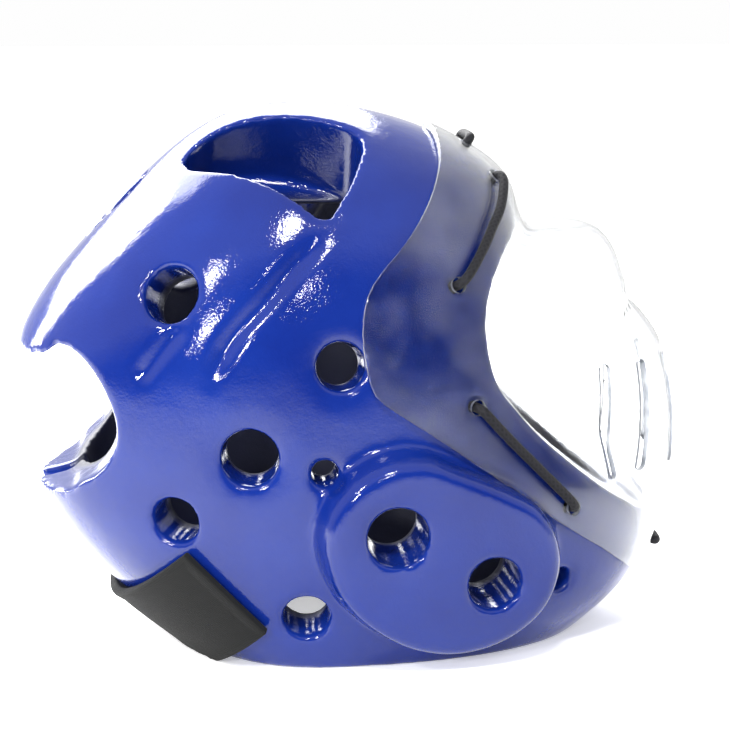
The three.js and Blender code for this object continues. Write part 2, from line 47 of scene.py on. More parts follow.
# everything below is worked out in millimetres, with forward towards the face, then moved to metres
mm = 0.001
size = {
    "height": 246.0,
    "frontReach": 165.0,
    "backReach": 131.0,
    "halfWidth": 102.0,
    "wall": 23.0,
}
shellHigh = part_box("shell_right")[1]
length = size["frontReach"] + size["backReach"]
centreY = shellHigh.y / mm - 143.0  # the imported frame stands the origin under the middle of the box

# level sections: height, mid, front, back, half, brow squareness, nape squareness
sections = np.array([
    [1.0, -0.048, 0, 0, 0, 2.0, 2.0],
    [0.988, -0.055, 0.164, 0.214, 0.275, 2.0, 2.0],
    [0.947, -0.067, 0.37, 0.366, 0.52, 2.2, 2.0],
    [0.87, -0.073, 0.558, 0.534, 0.745, 2.5, 2.05],
    [0.772, -0.073, 0.618, 0.71, 0.882, 2.5, 2.1],
    [0.663, -0.073, 0.715, 0.885, 0.961, 2.4, 2.15],
    [0.553, -0.073, 0.8, 0.992, 1.0, 2.3, 2.15],
    [0.423, -0.073, 0.897, 1.0, 1.0, 2.2, 2.15],
    [0.293, -0.073, 0.988, 0.924, 0.98, 2.2, 2.15],
    [0.187, -0.061, 1.0, 0.817, 0.941, 2.2, 2.15],
    [0.098, -0.048, 0.933, 0.672, 0.892, 2.2, 2.15],
    [0.024, -0.03, 0.806, 0.519, 0.833, 2.15, 2.15],
    [-0.049, 0, 0.63, 0.397, 0.765, 2.1, 2.1],
])
sections *= np.array([size["height"], size["frontReach"], size["frontReach"], size["backReach"],
                      size["halfWidth"], 1, 1])
lastSection = len(sections) - 1
poleSigns = np.array([1, 1, -1, -1, -1, 1, 1])


def foamRings(t):
    n = lastSection
    i = np.clip(np.floor(t).astype(int), 0, n - 1)
    u = (t - i)[:, None]

    def row(k):
        inside = sections[np.clip(np.abs(k), 0, n)] * np.where((k < 0)[:, None], poleSigns, 1)
        past = 2 * sections[n] - sections[n - 1]
        return np.where((k > n)[:, None], past, inside)

    a, b, c, d = row(i - 1), row(i), row(i + 1), row(i + 2)
    return 0.5 * (2 * b + (c - a) * u + (2 * a - 5 * b + 4 * c - d) * u**2 + (3 * b - a - 3 * c + d) * u**3)


def ringPoints(rings, turn):
    up, mid, front, back, half, brow, nape = rings.T
    c, s = np.cos(turn), np.sin(turn)
    reach = np.where(c >= 0, front, back)
    square = np.where(c >= 0, brow, nape)
    forward = mid + np.sign(c) * np.abs(c) ** (2 / square) * reach
    across = np.sign(s) * np.abs(s) ** (2 / square) * half
    return np.stack([across, -forward, up], 1)


def skin(t, turn, out):
    t, turn = np.broadcast_arrays(np.atleast_1d(np.asarray(t, float)), np.atleast_1d(np.asarray(turn, float)))
    p = ringPoints(foamRings(t), turn)
    down = (ringPoints(foamRings(np.minimum(t + 0.02, lastSection)), turn)
            - ringPoints(foamRings(np.maximum(t - 0.02, 0)), turn))
    safe = foamRings(np.maximum(t, 0.02))
    along = ringPoints(safe, turn + 0.01) - ringPoints(safe, turn - 0.01)
    normal = np.cross(down, along)
    normal /= np.maximum(np.linalg.norm(normal, axis=1, keepdims=True), 1e-9)
    normal[t < 0.02] = [0, 0, 1]
    return p + normal * np.asarray(out, float).reshape(-1, 1)


def sectionAt(up):
    low, high = np.zeros_like(up), np.full_like(up, lastSection)
    for _ in range(40):
        mid = (low + high) / 2
        above = foamRings(mid)[:, 0] > up
        low, high = np.where(above, mid, low), np.where(above, high, mid)
    return (low + high) / 2


def sidePlace(forward, up, side):
    forward, up = np.atleast_1d(np.asarray(forward, float)), np.atleast_1d(np.asarray(up, float))
    t = sectionAt(up)
    rings = foamRings(t)
    off = forward - rings[:, 1]
    reach = np.where(off >= 0, rings[:, 2], rings[:, 3])
    square = np.where(off >= 0, rings[:, 5], rings[:, 6])
    ratio = np.clip(off / reach, -1, 1)
    c = np.sign(ratio) * np.abs(ratio) ** (square / 2)
    return t, side * np.arccos(c)


def onSide(forward, up, side, out):
    t, turn = sidePlace(forward, up, side)
    return skin(t, turn, out)


def spotOnSide(share, side, out=0.0):
    return Vector(onSide(share[0] * length, share[1] * size["height"], side, out)[0])


def smoothLine(points, count, closed=False):
    # Catmull-Rom through the points, spaced evenly
    pts = np.array(points, float)
    n = len(pts)
    fine = []
    for i in range(n if closed else n - 1):
        if closed:
            a, b, c, d = (pts[(i + k) % n] for k in (-1, 0, 1, 2))
        else:
            b, c = pts[i], pts[i + 1]
            a = pts[i - 1] if i > 0 else 2 * b - c
            d = pts[i + 2] if i + 2 < n else 2 * c - b
        for u in np.linspace(0, 1, 12, endpoint=False):
            fine.append(0.5 * (2 * b + (c - a) * u + (2 * a - 5 * b + 4 * c - d) * u**2
                               + (3 * b - a - 3 * c + d) * u**3))
    fine.append(pts[0] if closed else pts[-1])
    fine = np.array(fine)
    run = np.concatenate([[0], np.cumsum(np.linalg.norm(np.diff(fine, axis=0), axis=1))])
    at = np.linspace(0, run[-1], count + 1)
    even = np.stack([np.interp(at, run, fine[:, k]) for k in range(fine.shape[1])], 1)
    return even[:-1] if closed else even


def objectFrom(bm, name):
    bm.normal_update()
    mesh = bpy.data.meshes.new(name)
    bm.to_mesh(mesh)
    bm.free()
    obj = bpy.data.objects.new(name, mesh)
    bpy.context.scene.collection.objects.link(obj)
    return obj


def placed(bm):
    # millimetres in the maker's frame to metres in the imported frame
    bmesh.ops.translate(bm, vec=(0, centreY, 0), verts=bm.verts)
    bmesh.ops.scale(bm, vec=(mm, mm, mm), verts=bm.verts)
    return bm


def outward(bm):
    bmesh.ops.remove_doubles(bm, verts=bm.verts, dist=1e-5)
    bmesh.ops.recalc_face_normals(bm, faces=bm.faces)
    return bm


def applied(obj):
    graph = bpy.context.evaluated_depsgraph_get()
    mesh = bpy.data.meshes.new_from_object(obj.evaluated_get(graph))
    old = obj.data
    obj.modifiers.clear()
    obj.data = mesh
    bpy.data.meshes.remove(old)
    return obj


def carve(body, cutters, how="DIFFERENCE"):
    for cutter in cutters:
        mod = body.modifiers.new("carve", "BOOLEAN")
        mod.operation = how
        mod.solver = "MANIFOLD"
        mod.object = cutter
    applied(body)
    for cutter in cutters:
        bpy.data.objects.remove(cutter)
    return body


def voxelSmooth(obj, voxel, rounds, strength=0.5):
    remesh = obj.modifiers.new("even", "REMESH")
    remesh.mode = "VOXEL"
    remesh.voxel_size = voxel * mm
    smooth = obj.modifiers.new("soft", "SMOOTH")
    smooth.factor = strength
    smooth.iterations = rounds
    return applied(obj)


def shadeSmooth(obj):
    obj.data.polygons.foreach_set("use_smooth", [True] * len(obj.data.polygons))
    return obj


def foamBlank(out, name, around=160, rings=110, skirt=60.0):
    # a sphere whose rings are pulled on to the foam's surface, with a straight skirt below the rim
    bm = bmesh.new()
    bmesh.ops.create_uvsphere(bm, u_segments=around, v_segments=rings, radius=1)
    bm.verts.ensure_lookup_table()
    co = np.array([v.co for v in bm.verts])
    t = np.arccos(np.clip(co[:, 2], -1, 1)) / math.pi * (lastSection + 1.5)
    turn = np.arctan2(co[:, 0], -co[:, 1])
    points = skin(np.minimum(t, lastSection), turn, out)
    points[:, 2] -= np.clip(t - lastSection, 0, 1) * skirt
    below = t > lastSection + 1
    middle = np.array([0, 0, points[below, 2].min()])
    shrink = np.clip((t - lastSection - 1) / 0.5, 0, 1)[:, None]
    points = points * (1 - shrink) + middle * shrink
    for v, p in zip(bm.verts, points):
        v.co = p
    return objectFrom(placed(outward(bm)), name)


def sideBlock(outline, half, name):
    # an outline seen from the side, pushed right through across X
    bm = bmesh.new()
    ring = [bm.verts.new((-half, -f, z)) for f, z in outline]
    face = bm.faces.new(ring)
    out = bmesh.ops.extrude_face_region(bm, geom=[face])
    moved = [g for g in out["geom"] if isinstance(g, bmesh.types.BMVert)]
    bmesh.ops.translate(bm, vec=(2 * half, 0, 0), verts=moved)
    bmesh.ops.triangulate(bm, faces=bm.faces)
    return objectFrom(placed(outward(bm)), name)


def boreBlock(point, normal, bore, mouth, depth, name, sides=40):
    # a round cutter with a flared mouth, spun about its axis and stood on the surface
    flare = mouth - bore
    steps = [(0, -depth), (bore, -depth)]
    for k in range(7):
        a = k / 6 * math.pi / 2
        steps.append((bore + flare * (1 - math.cos(a)), -flare * (1 - math.sin(a))))
    steps += [(mouth, flare * 3 + 8), (0, flare * 3 + 8)]
    bm = bmesh.new()
    chain = [bm.verts.new((r, 0, z)) for r, z in steps]
    edges = [bm.edges.new(pair) for pair in zip(chain, chain[1:])]
    bmesh.ops.spin(bm, geom=chain + edges, axis=(0, 0, 1), cent=(0, 0, 0), angle=2 * math.pi,
                   steps=sides, use_merge=True)
    turn = Vector((0, 0, 1)).rotation_difference(Vector(normal))
    bmesh.ops.transform(bm, matrix=Matrix.Translation(point) @ turn.to_matrix().to_4x4(), verts=bm.verts)
    return objectFrom(placed(outward(bm)), name)


# blue dipped foam: one skin over the shell and both ear pads
foam = {
    "gap": 0.35,
    "voxel": 1.5,  # mm, smaller keeps crisper edges
    "smoothRounds": 15,
    "padHeight": 15.0,
    "padDraft": 7.0,
    "padLength": 97.0,
    "padAt": (0.148, 0.225),
    "earBore": 12.5,
    "ventLength": 81.0,
    "ventAt": (-0.074, 0.902),
    "ventShift": (-0.062, 0.085),
    "crownWall": 46.0,
    "crownFront": 30.0,
    "split": 12.0,
    "backHole": 13.0,
    "backSmallHole": 5.0,
    "dishedVents": (1, 2),
    "dishWidth": 7.0,
    "dishDepth": 1.3,
    "creaseDepth": 2.7,
    "creaseWidth": 4.2,
}
faceOpening = [(0.76, 0.8), (0.36, 0.795), (0.284, 0.772), (0.243, 0.715), (0.224, 0.655), (0.223, 0.59),
               (0.239, 0.518), (0.275, 0.46), (0.312, 0.41), (0.372, 0.345), (0.418, 0.3), (0.458, 0.267),
               (0.52, 0.235), (0.76, 0.22)]
backOpening = [(-0.7, 0.545), (-0.46, 0.553), (-0.41, 0.581), (-0.378, 0.572), (-0.35, 0.535),
               (-0.333, 0.497), (-0.323, 0.46), (-0.322, 0.432), (-0.327, 0.405), (-0.347, 0.365),
               (-0.38, 0.335), (-0.43, 0.303), (-0.7, 0.26)]
ventOutline = [(-0.45, 0.19), (-0.4, 0.09), (-0.18, -0.07), (0.05, -0.24), (0.27, -0.41), (0.33, -0.36),
               (0.43, -0.17), (0.49, 0.02), (0.5, 0.17), (0.42, 0.28), (0.14, 0.4), (-0.09, 0.43),
               (-0.29, 0.4), (-0.43, 0.29)]
ventSpots = [  # forward, up, bore, mouth
    (-0.243, 0.69, 12.5, 15), (0.004, 0.567, 9.5, 13), (-0.13, 0.404, 11.5, 14.5), (-0.02, 0.376, 6, 8),
    (-0.24, 0.283, 10.5, 13), (-0.046, 0.103, 10.3, 12.8), (0.348, 0.141, 5.5, 8)]
padOutline = [(-0.495, 0.07), (-0.435, 0.275), (-0.28, 0.405), (-0.1, 0.43), (0.06, 0.365), (0.265, 0.262),
              (0.41, 0.16), (0.5, -0.03), (0.445, -0.24), (0.27, -0.375), (0.04, -0.42), (-0.19, -0.355),
              (-0.4, -0.18)]
earHoles = [(-0.205, 0.12, 1.0), (0.225, -0.12, 0.96)]
creases = [
    [(-0.02, 0.785), (-0.063, 0.739), (-0.106, 0.68), (-0.154, 0.617), (-0.186, 0.545)],
    [(-0.222, 0.64), (-0.26, 0.587), (-0.292, 0.532)],
]
laceHoleSpots = {"temple": [(0.249, 0.866), (0.176, 0.697)], "cheek": [(0.204, 0.484), (0.357, 0.283)]}
laceHoleRows = {"brow": (0.915, 11.0), "chin": (0.16, 11.0)}


def outlineMm(points, count, closed):
    return smoothLine([(f * length, z * size["height"]) for f, z in points], count, closed)


def loftBlock(rows, name):
    # each row is pulled out of the one before it, and both ends are closed
    bm = bmesh.new()
    first = bmesh.ops.create_circle(bm, segments=len(rows[0]), radius=1)["verts"]
    for v, p in zip(first, rows[0]):
        v.co = p
    loop = list(bm.edges)
    bmesh.ops.contextual_create(bm, geom=loop)
    for row in rows[1:]:
        out = bmesh.ops.extrude_edge_only(bm, edges=loop)["geom"]
        verts = [g for g in out if isinstance(g, bmesh.types.BMVert)]
        loop = [g for g in out if isinstance(g, bmesh.types.BMEdge)]
        for v, p in zip(verts, row):
            v.co = p
    bmesh.ops.contextual_create(bm, geom=loop)
    bmesh.ops.triangulate(bm, faces=[f for f in bm.faces if len(f.verts) > 4])
    return objectFrom(placed(outward(bm)), name)


def boxBlock(low, high, name):
    bm = bmesh.new()
    bmesh.ops.create_cube(bm, size=1)
    low, high = Vector(low), Vector(high)
    bmesh.ops.scale(bm, vec=high - low, verts=bm.verts)
    bmesh.ops.translate(bm, vec=(low + high) / 2, verts=bm.verts)
    return objectFrom(placed(outward(bm)), name)


def crownVentBlock(side):
    spot = spotOnSide(foam["ventAt"], side)
    axis = spotOnSide(foam["ventAt"], side, 1) - spot
    axis.y = 0
    axis.normalize()
    rise = Vector((0, -1, 0)).cross(axis).normalized()
    if rise.z < 0:
        rise = -rise
    ring = (smoothLine(ventOutline, 60, True) + np.array(foam["ventShift"])) * foam["ventLength"]
    rows = [[spot + Vector((0, -a, 0)) + rise * b + axis * deep for a, b in ring] for deep in (-50, 46)]
    return loftBlock(rows, "crownVent")


def padSpot(a, b):
    return (foam["padAt"][0] * length + a * foam["padLength"],
            foam["padAt"][1] * size["height"] + b * foam["padLength"])


def padBlock(side):
    face = smoothLine(padOutline, 72, True) * foam["padLength"]
    longest = np.hypot(face[:, 0], face[:, 1]).max()
    draft, high = foam["padDraft"], foam["padHeight"]
    profile = [(-0.8 * longest, -6), (0, -6), (draft * 1.1, -6), (draft, 0.5), (draft * 0.8, high * 0.35),
               (draft * 0.4, high * 0.75), (0, high * 0.98), (-draft * 0.5, high * 1.02),
               (-0.3 * longest, high * 0.97), (-0.5 * longest, high * 0.94), (-0.8 * longest, high * 0.93)]
    f0, z0 = padSpot(0, 0)
    rows = []
    for grow, out in profile:
        scale = 1 + grow / longest
        t, turn = sidePlace(f0 + face[:, 0] * scale, z0 + face[:, 1] * scale, side)
        rows.append([Vector(p) for p in skin(t, turn, np.full(len(face), out))])
    return loftBlock(rows, "padBlank")


def earHoleBlock(hole, side):
    f, z = padSpot(hole[0], hole[1])
    point = Vector(onSide(f, z, side, foam["padHeight"])[0])
    normal = (point - Vector(onSide(f, z, side, foam["padHeight"] - 1)[0])).normalized()
    normal = normal.lerp(Vector((side, 0, 0)), 0.5).normalized()
    bore = foam["earBore"] * hole[2]
    return boreBlock(point, normal, bore, bore + 3.5, foam["padHeight"] + 50, "earHole")


def laceEnds(kind, side):
    # two holes of a lace as section number and turn
    if kind in laceHoleSpots:
        return [tuple(float(v[0]) for v in sidePlace(f * length, z * size["height"], side))
                for f, z in laceHoleSpots[kind]]
    height, spread = laceHoleRows[kind]
    t = float(sectionAt(np.array([height * size["height"]]))[0])
    half = foamRings(np.array([t]))[0, 4]
    return [(t, across * spread / half) for across in (-1, 1)]


def allLaceEnds():
    ends = [end for side in (-1, 1) for kind in ("temple", "cheek") for end in laceEnds(kind, side)]
    return ends + laceEnds("brow", 0) + laceEnds("chin", 0)


def laceHoleBlocks(radius, flare, depth):
    blocks = []
    for t, turn in allLaceEnds():
        point = Vector(skin(t, turn, 0)[0])
        normal = (Vector(skin(t, turn, 1)[0]) - point).normalized()
        blocks.append(boreBlock(point, normal, radius, radius + flare, depth, "laceHole", 20))
    return blocks


def frontBlock():
    # everything ahead of the shield's rear edge, seen from the side
    rear = [(0.172, 1.12), (0.17, 0.947), (0.153, 0.874), (0.128, 0.818), (0.098, 0.771), (0.066, 0.73),
            (0.044, 0.69), (0.035, 0.63), (0.04, 0.57), (0.054, 0.515), (0.091, 0.479), (0.154, 0.427),
            (0.248, 0.345), (0.347, 0.254), (0.418, 0.193), (0.458, 0.153), (0.5, 0.125), (0.7, 0.12),
            (0.7, 1.12)]
    return sideBlock(outlineMm(rear, 150, True), size["halfWidth"] + 40, "shieldFront")


def dent(co, path, width, depth, side):
    # pushes the skin in along a line that lies on the side
    line = np.array([onSide(f * length, z * size["height"], side, 0)[0] for f, z in path])
    line = smoothLine(line, 40)
    points = co / mm - np.array([0, centreY, 0])
    near = np.full(len(points), 1e9)
    reach = np.zeros(len(points))
    for k in range(len(line) - 1):
        a, b = line[k], line[k + 1]
        u = np.clip(((points - a) @ (b - a)) / ((b - a) @ (b - a)), 0, 1)
        gap = np.linalg.norm(points - a - u[:, None] * (b - a), axis=1)
        closer = gap < near
        near = np.where(closer, gap, near)
        reach = np.where(closer, (k + u) / (len(line) - 1), reach)
    fade = np.clip(np.minimum(reach, 1 - reach) * 5 + 0.15, 0, 1)
    return depth * np.exp(-(near / width) ** 2) * fade


def dish(co, point, radius, depth):
    # a shallow round hollow about a point
    gap = np.linalg.norm(co / mm - np.array([0, centreY, 0]) - np.array(point), axis=1)
    return depth * np.exp(-(gap / radius) ** 4)


def hollowShadeShare(points):
    # nought on the outer skin, one deep in the hollow, where the foam is given painted shade
    rings = foamRings(sectionAt(np.clip(points[:, 2], 0, size["height"] * 0.985)))
    off = -points[:, 1] - rings[:, 1]
    reach = np.where(off >= 0, rings[:, 2], rings[:, 3])
    share = np.sqrt((off / reach) ** 2 + (points[:, 0] / rings[:, 4]) ** 2)
    power = 2.2  # about the squareness of the sections
    square = (np.abs(off / reach) ** power + np.abs(points[:, 0] / rings[:, 4]) ** power) ** (1 / power)
    spread = np.hypot(off, points[:, 0]) / np.maximum(share, 0.05)
    depth = (1 - square) * spread
    under = size["height"] - points[:, 2]  # the crown is thicker than the sides
    return (np.clip((depth - 0.62 * size["wall"]) / (0.3 * size["wall"]), 0, 1)
            * np.clip((under - 0.85 * foam["crownWall"]) / 6, 0, 1))


def makeFoam():
    body = foamBlank(0, "foamBody", 170, 120)
    inner = foamBlank(-size["wall"], "foamInner", 90, 70)
    crownLow = (-200, -foam["crownFront"], size["height"] - foam["crownWall"])
    carve(inner, [boxBlock(crownLow, (200, 300, 400), "crownRoof")])
    carve(body, [inner])
    pads = [padBlock(side) for side in (-1, 1)]
    carve(body, pads, "UNION")
    wide = size["halfWidth"] + 60
    cutters = [
        boxBlock((-200, -300, -160), (200, 300, 0), "floorCut"),
        sideBlock(outlineMm(faceOpening, 90, False), wide, "faceCut"),
        sideBlock(outlineMm(backOpening, 80, False), wide, "backCut"),
        boxBlock((-foam["split"] / 2, 30, -40), (foam["split"] / 2, 260, 96), "splitCut"),
    ]
    for side in (-1, 1):
        cutters.append(crownVentBlock(side))
        for f, z, bore, mouth in ventSpots:
            point = spotOnSide((f, z), side)
            normal = (spotOnSide((f, z), side, 1) - point).normalized()
            cutters.append(boreBlock(point, normal, bore, mouth, 46, "ventCut"))
        cutters += [earHoleBlock(hole, side) for hole in earHoles]
    for height, radius in ((0.835, foam["backHole"]), (0.772, foam["backSmallHole"])):
        t = sectionAt(np.array([height * size["height"]]))[0]
        point = Vector(skin(t, math.pi, 0)[0])
        normal = (Vector(skin(t, math.pi, 1)[0]) - point).normalized()
        cutters.append(boreBlock(point, normal, radius, radius + 2, 46, "backHoleCut"))
    carve(body, cutters)
    print("foam cut out")
    # the shield's flange lies on the cheek, so the pads are cut back behind it
    flange = frontBlock()
    carve(flange, [foamBlank(foam["gap"] * 2 + shield["wall"], "flangeSkin")], "INTERSECT")
    foamOnly = foamBlank(0, "foamCheek")
    carve(flange, [foamOnly])
    carve(body, [flange])
    carve(body, laceHoleBlocks(3.3, 1.4, 39))
    voxelSmooth(body, foam["voxel"], foam["smoothRounds"])
    print("foam skinned:", len(body.data.polygons), "faces")
    mesh = body.data
    co = np.empty(len(mesh.vertices) * 3)
    mesh.vertices.foreach_get("co", co)
    co = co.reshape(-1, 3)
    normals = np.empty(len(mesh.vertices) * 3)
    mesh.vertices.foreach_get("normal", normals)
    normals = normals.reshape(-1, 3)
    push = np.zeros(len(co))
    for side in (-1, 1):
        for path, scale in zip(creases, (1.0, 0.7)):
            push += dent(co, path, foam["creaseWidth"], foam["creaseDepth"] * scale, side)
        for k in foam["dishedVents"]:
            forward, up, bore, _ = ventSpots[k]
            push += dish(co, spotOnSide((forward, up), side), bore + foam["dishWidth"], foam["dishDepth"])
        hole = onSide(*padSpot(*earHoles[0][:2]), side, foam["padHeight"])[0]
        push += dish(co, hole, foam["earBore"] + foam["dishWidth"], foam["dishDepth"])
    co -= normals * push[:, None] * mm
    mesh.vertices.foreach_set("co", co.ravel())
    mesh.update()
    # how deep in the hollow each point lies, which sets the painted shade
    inside = mesh.attributes.new("inside", "FLOAT", "POINT")
    inside.data.foreach_set("value", hollowShadeShare(co / mm - np.array([0, centreY, 0])))
    body.name = "foamShell"
    return shadeSmooth(body)


# clear shield
shield = {
    "wall": 3.0,
    "sheet": 2.6,  # thickness shown, inside the solid one
    "voxel": 1.8,
    "smoothRounds": 8,
    "eyeReach": 141.0, "eyeHalf": 75.0, "eyeBase": 50.0,
    "maskReach": 167.5, "maskHalf": 66.0, "maskBase": 60.0,
    "slotWidth": 5.0, "slotLength": 52.0, "slotStep": 13.5, "slotHeight": 0.425,
}
eyeRows = [(0.77, 0.87, 0.5, 2.5), (0.763, 0.91, 0.6, 2.6), (0.748, 0.94, 0.7, 2.7), (0.722, 0.965, 0.86, 2.8),
           (0.69, 0.98, 0.96, 3.0), (0.65, 1.0, 1.04, 3.0), (0.61, 0.987, 1.0, 2.8), (0.575, 0.93, 0.92, 2.6),
           (0.55, 0.82, 0.8, 2.4)]
maskRows = [(0.648, 0.81, 0.8, 2.2), (0.622, 0.868, 0.9, 2.3), (0.593, 0.91, 0.96, 2.3), (0.545, 0.955, 1.0, 2.3),
            (0.455, 0.988, 1.0, 2.3), (0.374, 1.0, 0.97, 2.3), (0.293, 0.993, 0.91, 2.3), (0.236, 0.967, 0.82, 2.2),
            (0.2, 0.92, 0.7, 2.2)]


def bulgeBlock(rows, base, reach, half, name, around=90):
    fine = smoothLine(rows, 26)
    turns = np.linspace(0, 2 * math.pi, around, endpoint=False)
    loops = []
    for height, out, wide, square in fine:
        ring = np.array([[height * size["height"], base, out * reach - base, base * 0.6, wide * half,
                          square, square]])
        loops.append([Vector(p) for p in ringPoints(np.repeat(ring, around, 0), turns)])
    return loftBlock(loops, name)


def slotBlock(lean):
    # a rounded bar standing through the mouth guard
    r = shield["slotWidth"] / 2
    bm = bmesh.new()
    ring = bmesh.ops.create_circle(bm, segments=32, radius=r)["verts"]
    for v in ring:
        v.co.y += math.copysign(shield["slotLength"] / 2 - r, v.co.y) if abs(v.co.y) > 1e-6 else 0
    face = bmesh.ops.contextual_create(bm, geom=list(bm.edges))["faces"]
    out = bmesh.ops.extrude_face_region(bm, geom=face)["geom"]
    bmesh.ops.translate(bm, vec=(0, 0, 180), verts=[g for g in out if isinstance(g, bmesh.types.BMVert)])
    bmesh.ops.rotate(bm, matrix=Matrix.Rotation(math.pi / 2, 3, "X"), verts=bm.verts)
    bmesh.ops.rotate(bm, matrix=Matrix.Rotation(lean, 3, "Z"), verts=bm.verts)
    bmesh.ops.translate(bm, vec=(0, -shield["maskBase"], shield["slotHeight"] * size["height"]), verts=bm.verts)
    return objectFrom(placed(outward(bm)), "slotCut")


def makeShield():
    body = foamBlank(foam["gap"] + shield["wall"], "shieldBody")
    carve(body, [
        bulgeBlock(eyeRows, shield["eyeBase"], shield["eyeReach"], shield["eyeHalf"], "eyeBlank"),
        bulgeBlock(maskRows, shield["maskBase"], shield["maskReach"], shield["maskHalf"], "maskBlank"),
    ], "UNION")
    voxelSmooth(body, shield["voxel"], shield["smoothRounds"])
    keep, waste = bpy.data.materials.new("keep"), bpy.data.materials.new("waste")
    body.data.materials.clear()
    body.data.materials.append(keep)
    body.data.materials.append(waste)
    cutters = [slotBlock(math.radians(k * shield["slotStep"])) for k in range(-3, 4)]
    cutters += laceHoleBlocks(3.3, 0.2, 20)
    front = frontBlock()
    for cutter in cutters + [front]:
        cutter.data.materials.append(keep)
        cutter.data.materials.append(waste)
        cutter.data.polygons.foreach_set("material_index", [1] * len(cutter.data.polygons))
    carve(body, [front], "INTERSECT")
    carve(body, cutters)
    bm = bmesh.new()
    bm.from_mesh(body.data)
    bmesh.ops.delete(bm, geom=[f for f in bm.faces if f.material_index == 1], context="FACES")
    bmesh.ops.remove_doubles(bm, verts=bm.verts, dist=0.25 * mm)
    bm.to_mesh(body.data)
    bm.free()
    body.data.materials.clear()
    body.data.materials.append(clearFinish())
    body.data.materials.append(edgeFinish())
    thick = body.modifiers.new("sheet", "SOLIDIFY")
    thick.thickness = shield["sheet"] * mm
    thick.offset = -1
    thick.use_rim = True
    thick.material_offset_rim = 1
    rim = body.modifiers.new("rim", "BEVEL")
    rim.width = 0.5 * mm
    rim.segments = 2
    rim.limit_method = "ANGLE"
    rim.angle_limit = math.radians(55)
    applied(body)
    body.name = "clearShield"
    print("shield formed:", len(body.data.polygons), "faces")
    return shadeSmooth(body)


# neck strap
strap = {"width": 50.0, "thickness": 4.4, "tilt": 44.0, "end": (-0.16, 0.161), "columns": 240, "rows": 24,
         "hem": 3.2, "hemRise": 0.9, "run": 340.0}


def makeStrap():
    tilt = math.radians(strap["tilt"])
    f0, z0 = strap["end"][0] * length, strap["end"][1] * size["height"]
    columns, rows = strap["columns"], strap["rows"]
    floorT = sectionAt(np.array([0.4]))[0]

    def acrossAt(t, turn):
        p = ringPoints(foamRings(t), turn)
        return (-p[:, 1] - f0) * math.sin(tilt) - (p[:, 2] - z0) * math.cos(tilt)

    ends = []
    for a in np.linspace(-strap["width"] / 2, strap["width"] / 2, rows + 1):
        forward, up = f0 + a * math.sin(tilt), z0 - a * math.cos(tilt)
        t, turn = sidePlace(forward, max(up, 0.4), -1)
        ends.append((a, float(turn[0])))
    bm = bmesh.new()
    bmesh.ops.create_grid(bm, x_segments=columns, y_segments=rows, size=1)
    bm.verts.ensure_lookup_table()
    uvLayer = bm.loops.layers.uv.new("strapRun")
    co = np.array([v.co for v in bm.verts])
    s = (co[:, 0] + 1) / 2
    a = (co[:, 1] + 1) / 2 * strap["width"] - strap["width"] / 2
    start = np.interp(a, [e[0] for e in ends], [e[1] for e in ends])  # a turn below zero, at the right side
    turn = np.where(s < 0.5, start + (-math.pi - start) * s * 2, start + (-math.pi - start) * (2 - 2 * s))
    turn = np.where(s < 0.5, turn, -turn)
    high = np.full(len(co), floorT)
    lowest = acrossAt(high, turn)
    wanted = -strap["width"] / 2 + (a / strap["width"] + 0.5) * (
        np.minimum(lowest, strap["width"] / 2) + strap["width"] / 2)
    low = sectionAt(np.full(len(co), 110.0))
    for _ in range(40):
        mid = (low + high) / 2
        more = acrossAt(mid, turn) < wanted
        low, high = np.where(more, mid, low), np.where(more, high, mid)
    points = skin((low + high) / 2, turn, np.full(len(co), foam["gap"] + 0.25))
    raised = skin((low + high) / 2, turn, np.full(len(co), foam["gap"] + 0.25 + strap["hemRise"]))
    fromEnd = np.minimum(s, 1 - s) * strap["run"]
    hem = np.clip(1.6 - np.minimum(fromEnd, strap["width"] / 2 - np.abs(wanted)) / strap["hem"], 0, 1)[:, None]
    points = points * (1 - hem) + raised * hem
    points[:, 2] = np.maximum(points[:, 2], 0.2)
    for face in bm.faces:
        for loop in face.loops:
            k = loop.vert.index
            loop[uvLayer].uv = (s[k] * strap["run"] * mm, wanted[k] * mm)
    for v, p in zip(bm.verts, points):
        v.co = p
    bmesh.ops.recalc_face_normals(bm, faces=bm.faces)
    placed(bm)
    body = objectFrom(bm, "neckStrapWeb")
    probe = body.data.polygons[len(body.data.polygons) // 2]
    thick = body.modifiers.new("web", "SOLIDIFY")
    thick.thickness = strap["thickness"] * mm
    thick.offset = 1 if probe.normal.dot(probe.center - Vector((0, 0, 0.1))) > 0 else -1
    rim = body.modifiers.new("rim", "BEVEL")
    rim.width = 1.4 * mm
    rim.segments = 3
    rim.limit_method = "ANGLE"
    rim.angle_limit = math.radians(50)
    applied(body)
    for v in body.data.vertices:  # nothing reaches under the floor
        v.co.z = max(v.co.z, 0)
    print("strap wrapped")
    return shadeSmooth(body)


# laces
lace = {"thickness": 4.3, "knot": 4.8, "around": 14, "steps": 90}


